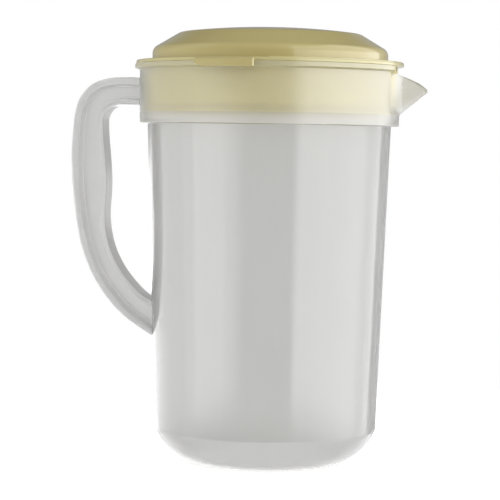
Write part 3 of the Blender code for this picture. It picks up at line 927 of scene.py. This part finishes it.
@dataclass
class Handle:
    """The channel-sided handle, swept along its outer and inner edges and cut to fit the jug."""

    jug: JugBody
    rim_drop: float = 0.0087
    drop: float = 0.1628
    reach: float = 0.0455
    width: float = 0.026
    web: float = 0.005
    outer_flange: float = 0.0044
    inner_flange: float = 0.0032
    flange_draft: float = 0.0010
    edge_round: float = 0.0017
    inner_round: float = 0.0007
    root: float = 0.0050
    steps_per_span: int = 8
    shares: tuple[tuple[float, float, float, float], ...] = (
        (0.246, -0.001, 0.213, 0.104),
        (0.458, 0.006, 0.334, 0.106),
        (0.656, 0.027, 0.450, 0.121),
        (0.822, 0.074, 0.521, 0.151),
        (0.900, 0.126, 0.535, 0.187),
        (0.945, 0.190, 0.536, 0.229),
        (0.985, 0.283, 0.527, 0.296),
        (0.999, 0.354, 0.521, 0.367),
        (0.998, 0.440, 0.534, 0.436),
        (0.968, 0.552, 0.568, 0.520),
        (0.922, 0.638, 0.562, 0.592),
        (0.811, 0.738, 0.502, 0.670),
        (0.644, 0.825, 0.378, 0.742),
        (0.448, 0.894, 0.217, 0.801),
        (0.236, 0.944, 0.080, 0.838),
    )
    upper_end: tuple[float, float] = (0.000, 0.104)
    lower_end: tuple[float, float] = (1.006, 0.867)

    def edge_point(self, reach_share: float, drop_share: float) -> Point:
        """Finds a point of the handle's side view.

        Args:
            reach_share: Its share of the reach, from the jug's outline.
            drop_share: Its share of the drop, from the top of the arm.

        Returns:
            The point as (x, z).
        """
        jug = self.jug
        top = jug.rim_height - self.rim_drop
        foot_share = (top - self.drop - jug.crease_height) / (jug.shoulder_height - jug.crease_height)
        foot = jug.crease_radius + (jug.shoulder_radius - jug.crease_radius) * foot_share
        side = jug.collar_radius + (foot - jug.collar_radius) * drop_share
        return -side - reach_share * self.reach, top - drop_share * self.drop

    @staticmethod
    def between(values: tuple[float, float, float, float], t: float) -> float:
        """Finds a value between the second and third of four, on a smooth curve through them all.

        Args:
            values: The four values.
            t: How far it is from the second to the third.

        Returns:
            The value.
        """
        before, start, end, after = values
        bend = 2 * before - 5 * start + 4 * end - after
        twist = 3 * (start - end) + after - before
        return start + ((end - before) * t + bend * t**2 + twist * t**3) / 2

    def stations(self) -> list[tuple[Point, Point]]:
        """Finds where the handle's bar passes.

        Returns:
            Pairs of outer and inner edge points along the handle.
        """
        root = -self.root / self.reach
        rows = [(root, self.upper_end[0], root, self.upper_end[1]), *self.shares]
        rows.append((root, self.lower_end[0], root, self.lower_end[1]))
        last = len(rows) - 1
        made = []
        for i in range(last * self.steps_per_span + 1):
            span = min(i // self.steps_per_span, last - 1)
            t = i / self.steps_per_span - span
            near = [rows[max(span - 1, 0)], rows[span], rows[span + 1], rows[min(span + 2, last)]]
            shares = [self.between(values, t) for values in zip(*near)]
            made.append((self.edge_point(*shares[:2]), self.edge_point(*shares[2:])))
        return made

    def section(self) -> list[Corner]:
        """Draws the bar's section.

        Returns:
            Its corners as (distance from the outer edge, y) for a bar one metre deep.
        """
        half = self.width / 2
        web = self.web / 2
        inner = 1 - self.inner_flange
        side = [
            Corner(0, half, self.edge_round),
            Corner(self.outer_flange, half, self.inner_round, 4),
            Corner(self.outer_flange + self.flange_draft, web, self.inner_round, 4),
            Corner(inner - self.flange_draft, web, self.inner_round, 4),
            Corner(inner, half, self.inner_round, 4),
            Corner(1, half, self.edge_round),
        ]
        return side + [Corner(c.radius, -c.height, c.rounding, c.steps) for c in reversed(side)]

    def build(self, material: Material) -> None:
        """Builds the handle.

        Args:
            material: Its finish.
        """
        stations = self.stations()
        mesh = draw_section(self.section(), closed=True)
        swing(mesh, mesh.verts, math.pi / 2)
        face = bmesh.ops.contextual_create(mesh, geom=mesh.edges[:])["faces"]
        # The bar is drawn along X with its stations a metre apart, and then put in place.
        for _ in stations[1:]:
            grown = bmesh.ops.extrude_face_region(mesh, geom=face)["geom"]
            bmesh.ops.delete(mesh, geom=face, context="FACES_ONLY")
            face = [part for part in grown if isinstance(part, BMFace)]
            moved = [part for part in grown if isinstance(part, BMVert)]
            bmesh.ops.translate(mesh, verts=moved, vec=(1, 0, 0))
        first = [edge for edge in mesh.edges if edge.is_boundary]
        bmesh.ops.contextual_create(mesh, geom=first)
        for vertex in mesh.verts:
            outer, inner = (Vector((x, 0, z)) for x, z in stations[round(vertex.co.x)])
            across = inner - outer
            depth = across.length
            reach = vertex.co.y if vertex.co.y < 0.5 else depth - (1 - vertex.co.y)
            place = outer + across * (reach / depth)
            vertex.co = (place.x, vertex.co.z, place.z)
        bmesh.ops.recalc_face_normals(mesh, faces=mesh.faces)
        item = add_object("handle_moulding", mesh)

        clear = offset_path(self.jug.outside(), FIT_GAP)[1:]
        top = self.jug.rim_height + CUT_OVERRUN
        path = [(0, -CUT_OVERRUN), (clear[0][0], -CUT_OVERRUN), *clear, (clear[-1][0], top), (0, top)]
        wire = draw_section([Corner(r, z) for r, z in path], closed=False)
        apply_boolean(item, turn(wire, [(FULL_TURN, self.jug.turn_steps)]), "DIFFERENCE")
        finish_piece(item, "handle", Body.JUG, Slot.FROSTED, [material])


@dataclass
class Lid:
    """The lid: domed crown, flange, thumb tab, and a skirt with window, strainer slots and seal's groove."""

    jug: JugBody
    skirt_play: float = 0.0006
    skirt_depth: float = 0.0300
    wall: float = 0.0018
    flange_thickness: float = 0.0019
    seat_gap: float = 0.0001
    flange_setback: float = 0.0007
    flange_round: float = 0.0008
    flange_foot_round: float = 0.0002
    crown_inset: float = 0.0056
    crown_wall_height: float = 0.0075
    crown_top_inset: float = 0.0170
    crown_top_height: float = 0.0177
    crown_dome_rise: float = 0.0036
    crown_top_round: float = 0.007
    crown_wall_round: float = 0.005
    crown_foot_fillet: float = 0.0006
    skirt_foot_thickness: float = 0.0034
    skirt_foot_height: float = 0.0062
    skirt_foot_slope: float = 0.0020
    step_angle: float = math.radians(5)
    step_half_angle: float = math.radians(90)
    step_rise: float = 0.0005
    step_width: float = 0.0056
    step_setback: float = 0.0003
    step_round: float = 0.0004
    groove_depth: float = 0.0019
    groove_rise: float = 0.0016
    seal_height: float = 0.0024
    tab_angle: float = math.radians(-102.6)
    tab_half_angle: float = math.radians(12.0)
    tab_taper: float = 0.0080
    tab_taper_share: float = 0.96
    tab_reach: float = 0.0068
    tab_drop: float = 0.0060
    tab_thickness: float = 0.0018
    tab_set_down: float = 0.0006
    tab_root: float = 0.004
    tab_top_round: float = 0.0014
    tab_end_round: float = 0.0015
    tab_end_shares: tuple[float, ...] = (0.03, 0.13, 0.29, 0.5, 0.75, 1.0)
    tab_round: float = 0.0006
    window_angle: float = math.radians(76)
    window_half_angle: float = math.radians(15.4)
    window_foot: float = 0.0068
    window_head: float = 0.0057
    window_corner: float = 0.003
    window_end_area: float = 0.00009
    strainer_side: float = math.radians(90)
    slot_count: int = 6
    slot_width: float = 0.0022
    slot_pitch: float = math.radians(3.8)
    slot_round_share: float = 0.45
    turn_steps: int = 216
    dome_steps: int = 12
    tab_steps: int = 18
    raised_steps: int = 108

    @property
    def flange_bottom(self) -> float:
        """Height of the flange's underside."""
        return self.jug.rim_height + self.seat_gap

    @property
    def flange_top(self) -> float:
        """Height of the flange's top."""
        return self.jug.rim_height + FIT_GAP + self.flange_thickness

    @property
    def flange_radius(self) -> float:
        """Radius of the flange's edge."""
        return self.jug.rim_radius - self.flange_setback

    @property
    def skirt_radius(self) -> float:
        """Outer radius of the skirt."""
        return self.jug.bore_radius - self.skirt_play

    @property
    def skirt_bottom(self) -> float:
        """Height of the skirt's lower edge."""
        return self.jug.rim_height + FIT_GAP - self.skirt_depth

    @property
    def groove_radius(self) -> float:
        """Radius of the floor of the seal's groove."""
        return self.skirt_radius - self.groove_depth

    @property
    def groove_bottom(self) -> float:
        """Height of the lower side of the seal's groove."""
        return self.skirt_bottom + self.groove_rise

    def section(self) -> list[Corner]:
        """Draws the lid in section.

        Returns:
            Its corners, from the middle of the top round the skirt to the middle of the underside.
        """
        crown_radius = self.jug.bore_radius - self.crown_inset
        top_corner = (crown_radius - self.crown_top_inset, self.flange_top + self.crown_top_height)
        wall_corner = (crown_radius, self.flange_top + self.crown_wall_height)
        middle = (0, top_corner[1] + self.crown_dome_rise)
        dome_radius = (top_corner[0] ** 2 + self.crown_dome_rise**2) / (2 * self.crown_dome_rise)
        dome = arc_between(top_corner, middle, dome_radius, self.dome_steps)[:-1]
        crown = [middle, *dome[::-1], wall_corner, (crown_radius, self.flange_top)]
        inside = offset_path(crown, self.wall)
        rounds = [0.0] * self.dome_steps
        rounds += [self.crown_top_round, self.crown_wall_round, self.crown_foot_fillet]
        outer = [Corner(r, z, rounding, 8) for (r, z), rounding in zip(crown, rounds)]
        groove_top = self.groove_bottom + self.seal_height
        foot_inside = self.skirt_radius - self.skirt_foot_thickness
        skirt_inside = self.skirt_radius - self.wall
        foot_top = self.skirt_bottom + self.skirt_foot_height
        small = self.crown_foot_fillet / 2
        rest = [
            Corner(self.flange_radius, self.flange_top, self.flange_round),
            Corner(self.flange_radius, self.flange_bottom, self.flange_foot_round),
            Corner(self.skirt_radius, self.flange_bottom, small, 3),
            Corner(self.skirt_radius, groove_top, small / 2, 2),
            Corner(self.groove_radius, groove_top),
            Corner(self.groove_radius, self.groove_bottom),
            Corner(self.skirt_radius, self.groove_bottom, small / 2, 2),
            Corner(self.skirt_radius, self.skirt_bottom, small, 3),
            Corner(foot_inside, self.skirt_bottom, small, 3),
            Corner(foot_inside, foot_top - self.skirt_foot_slope),
            Corner(skirt_inside, foot_top),
            Corner(skirt_inside, self.flange_top - self.wall, small, 3),
            Corner(inside[-1][0], self.flange_top - self.wall, small, 3),
            Corner(*inside[-2], self.crown_wall_round - self.wall, 8),
            Corner(*inside[-3], self.crown_top_round - self.wall, 8),
        ]
        return outer + rest + [Corner(*point) for point in inside[-4::-1]]

    def tab(self) -> BMesh:
        """Makes the thumb tab: an arm that grows from the flange and a lip that hangs outside the rim.

        Returns:
            The closed tab.
        """
        top = self.flange_top - self.tab_set_down
        outer = self.flange_radius + self.tab_reach
        bottom = self.flange_top - self.tab_drop
        root = self.flange_radius - self.tab_root
        under = top - self.tab_thickness
        corners = [
            Corner(root, top),
            Corner(outer, top, self.tab_top_round, 6),
            Corner(outer, bottom, self.tab_round),
            Corner(outer - self.tab_thickness, bottom, self.tab_round / 2),
            Corner(outer - self.tab_thickness, under, self.tab_round / 2),
            Corner(root, under),
        ]
        mesh = turned_wedge(corners, self.tab_angle, self.tab_half_angle, self.tab_steps)
        for side in (-1, 1):
            for share in self.tab_end_shares:
                angle = self.tab_angle + side * (self.tab_half_angle - self.tab_end_round / outer * share)
                score(mesh, (0, 0, 0), (-math.sin(angle), math.cos(angle), 0))
        hang = under - bottom
        for vertex in mesh.verts:
            angle = azimuth(vertex.co) - self.tab_angle
            left = (self.tab_half_angle - abs(angle)) * outer
            if angle < 0 and left < self.tab_taper and vertex.co.z < under:
                cut = 1 - max(0.0, left) / self.tab_taper
                rise = hang * (1 - math.sqrt(1 - cut * cut * self.tab_taper_share))
                vertex.co.z += rise * (under - vertex.co.z) / hang
            if left < self.tab_end_round and vertex.co.xy.length > outer - self.tab_thickness / 2:
                missing = self.tab_end_round - max(0.0, left)
                sink = self.tab_end_round - math.sqrt(max(0.0, self.tab_end_round**2 - missing**2))
                vertex.co.xy *= 1 - sink / vertex.co.xy.length
        bmesh.ops.recalc_face_normals(mesh, faces=mesh.faces)
        return mesh

    def step(self) -> BMesh:
        """Makes the half of the flange that stands a step higher.

        Returns:
            A closed strip along the flange.
        """
        root = self.flange_top - self.flange_thickness / 2
        top = self.flange_top + self.step_rise
        outer = self.flange_radius - self.step_setback
        inner = outer - self.step_width
        corners = [
            Corner(inner, root),
            Corner(inner, top, self.step_round),
            Corner(outer, top, self.step_round),
            Corner(outer, root),
        ]
        return turned_wedge(corners, self.step_angle, self.step_half_angle, self.raised_steps)

    def window(self) -> BMesh:
        """Makes the pouring window's cutter: a wedge across the wall, with rounded corners.

        Returns:
            The closed cutter.
        """
        inner = self.skirt_radius - self.skirt_foot_thickness - CUT_OVERRUN
        outer = self.skirt_radius + CUT_OVERRUN
        bottom = self.skirt_bottom + self.window_foot
        top = self.flange_bottom - self.window_head
        corners = [Corner(inner, bottom), Corner(outer, bottom), Corner(outer, top), Corner(inner, top)]
        mesh = turned_wedge(corners, self.window_angle, self.window_half_angle, self.tab_steps)
        upright = {face for face in mesh.faces if abs(face.normal.z) < FACING}
        ends = {face for face in upright if face.calc_area() > self.window_end_area}
        radial = [
            edge
            for edge in mesh.edges
            if abs(edge.verts[0].co.z - edge.verts[1].co.z) < MERGE_DISTANCE
            and edge.calc_length() > CUT_OVERRUN
            and any(face in ends for face in edge.link_faces)
        ]
        round_off(mesh, radial, self.window_corner, steps=6)
        return mesh

    def slots(self) -> BMesh:
        """Makes the strainer slots' cutter: upright bars with rounded ends, side by side.

        Returns:
            The closed bars.
        """
        mesh = bmesh.new()
        bottom = self.skirt_bottom + self.window_foot
        top = self.flange_bottom - self.window_head
        depth = self.skirt_foot_thickness + CUT_OVERRUN
        middle = self.skirt_radius - self.wall / 2
        strainer = self.window_angle + self.strainer_side
        for i in range(self.slot_count):
            angle = strainer + (i - (self.slot_count - 1) / 2) * self.slot_pitch
            bar = bmesh.ops.create_cube(mesh, size=1)["verts"]
            bmesh.ops.scale(mesh, verts=bar, vec=(depth, self.slot_width, top - bottom))
            ends = [
                edge
                for edge in {edge for vertex in bar for edge in vertex.link_edges}
                if abs(edge.verts[0].co.x - edge.verts[1].co.x) > depth / 2
            ]
            rounded = round_off(mesh, ends, self.slot_width * self.slot_round_share, steps=4)
            bar = list({vertex for face in rounded["faces"] for edge in face.edges for vertex in edge.verts})
            bmesh.ops.translate(mesh, verts=bar, vec=(middle, 0, (top + bottom) / 2))
            swing(mesh, bar, angle)
        return mesh

    def zone(self, middle: Vector, _: Vector) -> LidZone:
        """Finds which finish a face takes.

        Args:
            middle: The face's middle.

        Returns:
            The finish's zone.
        """
        out = middle.xy.length
        # Below the flange the skirt takes its brighter copy: painted light.
        if middle.z < self.flange_bottom - MERGE_DISTANCE and out < self.flange_radius:
            return LidZone.SKIRT
        # The flange's outer band and the raised step take the lighter copy: painted light and a painted
        # highlight.
        edge = self.flange_radius - self.step_width / 2 < out < self.flange_radius + MERGE_DISTANCE
        low = middle.z < self.flange_top + 2 * self.step_rise
        return LidZone.FLANGE_EDGE if edge and low else LidZone.TOP

    def build(self, materials: list[Material]) -> None:
        """Builds the lid.

        Args:
            materials: Its finishes in the order of LidZone.
        """
        mesh = turn(draw_section(self.section(), closed=False), [(FULL_TURN, self.turn_steps)])
        item = add_object("lid_moulding", mesh)
        for part in (self.tab(), self.step()):
            apply_boolean(item, part, "UNION")
        for cutter in (self.window(), self.slots()):
            apply_boolean(item, cutter, "DIFFERENCE")
        finish_piece(item, "lid", Body.LID, Slot.LID, materials, self.zone)


@dataclass
class LidSeal:
    """The flexible ring in the skirt's groove, with a lip that meets the collar."""

    lid: Lid
    play: float = 0.0004
    foot_play: float = 0.00005
    outer_play: float = 0.0005
    height: float = 0.0023
    edge_round: float = 0.0003
    turn_steps: int = 216

    def build(self, material: Material) -> None:
        """Builds the sealing ring.

        Args:
            material: Its finish.
        """
        outer = self.lid.jug.bore_radius - self.outer_play
        inner = self.lid.groove_radius + self.play
        bottom = self.lid.groove_bottom + self.foot_play
        top = bottom + self.height
        corners = [
            Corner(inner, bottom, self.edge_round / 2, 2),
            Corner(outer, bottom, self.edge_round, 4),
            Corner(outer, top, self.edge_round, 4),
            Corner(inner, top, self.edge_round / 2, 2),
        ]
        mesh = turn(draw_section(corners, closed=True), [(FULL_TURN, self.turn_steps)])
        item = add_object("lid_seal_ring", mesh)
        finish_piece(item, "lid_seal", Body.LID_RING, Slot.SEAL, [material])


# Studio


@dataclass
class Camera:
    """The photograph's viewpoint, in a 500 by 500 picture."""

    azimuth: float = 6.0
    pitch: float = 3.11
    roll: float = 0.86
    distance: float = 1.25
    focal_pixels: float = 1990.6
    picture_pixels: float = 500.0
    sensor: float = 36.0
    aim_right: float = -0.01088
    aim_height: float = 0.13191

    @property
    def frame(self) -> Matrix:
        """The camera's level axes as columns: right, away from the camera, and up."""
        return Matrix.Rotation(math.radians(self.azimuth), 3, "Z")

    def build(self) -> None:
        """Makes the camera and has the scene look through it."""
        right, away, up = self.frame.transposed()
        pitch = math.radians(self.pitch)
        forward = away * math.cos(pitch) - up * math.sin(pitch)
        above = right.cross(forward)
        roll = math.radians(self.roll)
        side = right * math.cos(roll) + above * math.sin(roll)
        head = above * math.cos(roll) - right * math.sin(roll)
        place = right * self.aim_right + up * self.aim_height - forward * self.distance
        data = bpy.data.cameras.new("photo_camera")
        data.sensor_width = self.sensor
        data.lens = self.focal_pixels / self.picture_pixels * self.sensor
        item = bpy.data.objects.new("photo_camera", data)
        bpy.context.scene.collection.objects.link(item)
        turned = Matrix((side, head, -forward)).transposed().to_4x4()
        item.matrix_world = Matrix.Translation(place) @ turned
        bpy.context.scene.camera = item


@dataclass(frozen=True)
class Panel:
    """A soft light panel that lights the surfaces, placed in the camera's level axes."""

    name: str
    middle: tuple[float, float, float]
    facing: tuple[float, float, float]
    width: float
    height: float
    radiance: float

    def build(self, frame_axes: Matrix) -> None:
        """Makes the panel.

        Args:
            frame_axes: The camera's level axes as columns.
        """
        data = bpy.data.lights.new(self.name, "AREA")
        data.shape = "RECTANGLE"
        data.size = self.width
        data.size_y = self.height
        data.energy = self.radiance * math.pi * self.width * self.height
        item = bpy.data.objects.new(self.name, data)
        bpy.context.scene.collection.objects.link(item)
        item.location = frame_axes @ Vector(self.middle)
        item.rotation_mode = "QUATERNION"
        item.rotation_quaternion = (frame_axes @ Vector(self.facing)).to_track_quat("-Z", "Y")
        item.visible_camera = item.visible_transmission = item.visible_glossy = False


@dataclass(frozen=True)
class Softbox:
    """A wide soft box as reflections show it, in degrees round from the camera's side and above it."""

    start: float
    end: float
    start_fade: float
    end_fade: float
    bottom: float
    top: float
    fade: float
    radiance: float

    def glow(self, nodes: Nodes, around: NodeSocket, up: NodeSocket) -> NodeSocket:
        """Adds the box to a world.

        Args:
            nodes: The world's nodes.
            around: The angle round from the camera's side.
            up: The angle above the horizon.

        Returns:
            The light that comes from the box in that direction.
        """
        edges = [
            nodes.span(around, self.start - self.start_fade, self.start + self.start_fade, smooth=True),
            nodes.span(around, self.end - self.end_fade, self.end + self.end_fade, 1.0, 0.0, smooth=True),
            nodes.span(up, self.bottom - self.fade, self.bottom + self.fade, smooth=True),
            nodes.span(up, self.top - self.fade, self.top + self.fade, 1.0, 0.0, smooth=True),
        ]
        return nodes.math("MULTIPLY", self.radiance, *edges)


@dataclass
class Studio:
    """The floor, the light panels and the world round the pitcher."""

    camera: Camera
    floor_radius: float = 0.42
    floor_lift: float = 0.62
    floor_glow: float = 0.42
    side_sky: float = 0.58
    top_sky: float = 0.36
    ground_sky: float = 0.42
    room: float = 0.03
    table_glow: float = 0.75
    table_fade: Span = (-14.0, -12.6)
    floor_colour: float = 0.92
    floor_roughness: float = 0.9
    floor_steps: int = 128
    backdrop_depth: Span = (0.25, 0.8)
    backdrop_foot: Span = (-1.0, 2.0)
    backdrop_glow: Span = (0.6, 0.3)
    backdrop_fade: Span = (14.0, 40.0)
    sky_fade: Span = (10.0, 70.0)
    ground_fade: Span = (-4.0, 4.0)
    panels: list[Panel] = field(
        default_factory=lambda: [
            Panel("right_fill", (0.9, -0.6, 0.5), (-1, 0, 0), 2.2, 1.4, 0.72),
            Panel("left_fill", (-1.2, -0.6, 0.4), (1, 0, 0), 2.0, 1.4, 1.0),
            Panel("upper_fill", (0.7, -0.5, 1.0), (-0.6, 0.35, -0.75), 0.8, 0.8, 1.3),
        ]
    )
    boxes: list[Softbox] = field(
        default_factory=lambda: [
            Softbox(26, 104, 5.0, 9.0, -12.0, -1.0, 1.6, 3.2),
            Softbox(104, 131, 9.0, 3.0, -12.0, -1.0, 1.6, 1.8),
            Softbox(22, 131, 1.5, 3.0, -1.0, 11, 0.8, 2.3),
            Softbox(22, 131, 1.5, 3.0, 11, 60, 0.8, 1.5),
            Softbox(43, 120, 30, 12, -1.0, 11, 0.8, 1.0),
            Softbox(43, 120, 30, 12, -1.0, 2.1, 0.6, 1.0),
            Softbox(45, 90, 16, 8, -12.4, 11, 0.8, 0.4),
            Softbox(-89, -29, 2.0, 8.0, -11.6, -1.2, 1.0, 1.9),
            Softbox(-76, -42, 3.0, 4.0, -11.6, -1.2, 1.0, 1.0),
            Softbox(-178, -89, 4.0, 2.0, -11.6, -1.2, 1.0, 1.4),
            Softbox(-120, -76, 12.0, 16.0, -0.8, 60, 1.0, 0.4),
            Softbox(8, 40, 10.0, 8.0, -1.0, 1.5, 0.6, 1.5),
        ]
    )

    def build_floor(self) -> None:
        """Makes the round pale table top that the pitcher stands on."""
        mesh = bmesh.new()
        bmesh.ops.create_circle(mesh, cap_ends=True, segments=self.floor_steps, radius=self.floor_radius)
        item = add_object("floor", mesh)
        made = bpy.data.materials.new("pale_floor")
        made.use_nodes = True
        nodes = Nodes(made.node_tree)
        rays = nodes.add("LightPath").outputs
        seen = nodes.math("MULTIPLY", rays["Is Camera Ray"], self.floor_lift)
        passed = nodes.math("MULTIPLY", rays["Is Transmission Ray"], self.floor_glow)
        inputs = {
            "Base Color": (self.floor_colour, self.floor_colour, self.floor_colour, 1),
            "Roughness": self.floor_roughness,
            "Specular IOR Level": 0.0,
            "Emission Color": (1, 1, 1, 1),
            "Emission Strength": nodes.math("ADD", seen, passed),
        }
        nodes.surface(nodes.add("BsdfPrincipled", inputs))
        item.data.materials.append(made)
        item.visible_glossy = False

    def build_world(self) -> None:
        """Makes the world: white behind the pitcher, soft boxes in its reflections, an even light on it."""
        world = bpy.data.worlds.new("studio")
        bpy.context.scene.world = world
        world.use_nodes = True
        nodes = Nodes(world.node_tree)
        rays = nodes.add("LightPath").outputs
        way = nodes.add("TexCoord").outputs["Generated"]
        rotation = (0, 0, -math.radians(self.camera.azimuth))
        turned = nodes.add("Mapping", {"Vector": way, "Rotation": rotation}).outputs[0]
        parts = nodes.add("SeparateXYZ", {"Vector": turned}).outputs
        towards = nodes.math("MULTIPLY", parts["Y"], -1.0)
        around = nodes.math("MULTIPLY", nodes.math("ARCTAN2", parts["X"], towards), math.degrees(1))
        up = nodes.math("MULTIPLY", nodes.math("ARCSINE", parts["Z"]), math.degrees(1))
        backdrop = nodes.math(
            "MULTIPLY",
            nodes.span(parts["Y"], *self.backdrop_depth, smooth=True),
            nodes.span(up, *self.backdrop_foot, *self.backdrop_glow),
            nodes.span(up, *self.backdrop_fade, 1.0, 0.0, smooth=True),
        )
        table = nodes.span(up, *self.table_fade, self.table_glow, 0.0, smooth=True)
        boxes = [box.glow(nodes, around, up) for box in self.boxes]
        glossy = nodes.math("ADD", backdrop, table, self.room, *boxes)
        clear = nodes.math("MAXIMUM", rays["Is Camera Ray"], rays["Is Transmission Ray"])
        mirrored = nodes.math("SUBTRACT", rays["Is Glossy Ray"], clear, clamp=True)
        glossy = nodes.math("MULTIPLY", mirrored, glossy)
        others = nodes.math("SUBTRACT", 1.0, clear, rays["Is Glossy Ray"], clamp=True)
        sky = nodes.span(up, *self.sky_fade, self.side_sky, self.top_sky)
        ground = nodes.span(up, *self.ground_fade, self.ground_sky, self.side_sky)
        even = nodes.math("MULTIPLY", others, nodes.math("MINIMUM", sky, ground))
        strength = nodes.math("ADD", nodes.math("MAXIMUM", clear, glossy), even)
        shade = nodes.add("Background", {"Color": (1, 1, 1, 1), "Strength": strength})
        nodes.surface(shade, "OutputWorld")

    def build(self) -> None:
        """Makes the floor, the panels and the world, and sets the plain view."""
        self.build_floor()
        for panel in self.panels:
            panel.build(self.camera.frame)
            LOG.info("panel %s", panel.name)
        self.build_world()
        bpy.context.scene.view_settings.view_transform = "Standard"


def main() -> None:
    """Builds the pitcher's pieces, the studio and the camera."""
    logging.basicConfig(level=logging.INFO, format="%(name)s: %(message)s")
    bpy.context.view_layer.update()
    jug = JugBody()
    walls = (MILKY_BASE_PAINTED_LIGHT, MILKY_WALL, COLLAR_FOOT_PAINTED_LIGHT, CLEAR_COLLAR_PAINTED_LIGHT, MILKY_INSIDE, MILKY_SPOUT_PAINTED_GLOW, MILKY_RIM_PAINTED_GLOW)
    jug.build([finish.material() for finish in walls])
    Handle(jug).build(MILKY_GRIP.material())
    lid = Lid(jug)
    lid.build([finish.material() for finish in (STRAW_LID, STRAW_SKIRT_PAINTED_GLOW, STRAW_EDGE_PAINTED_LIGHT)])
    LidSeal(lid).build(PALE_SEAL.material())
    camera = Camera()
    camera.build()
    Studio(camera).build()


if __name__ == "__main__":
    main()
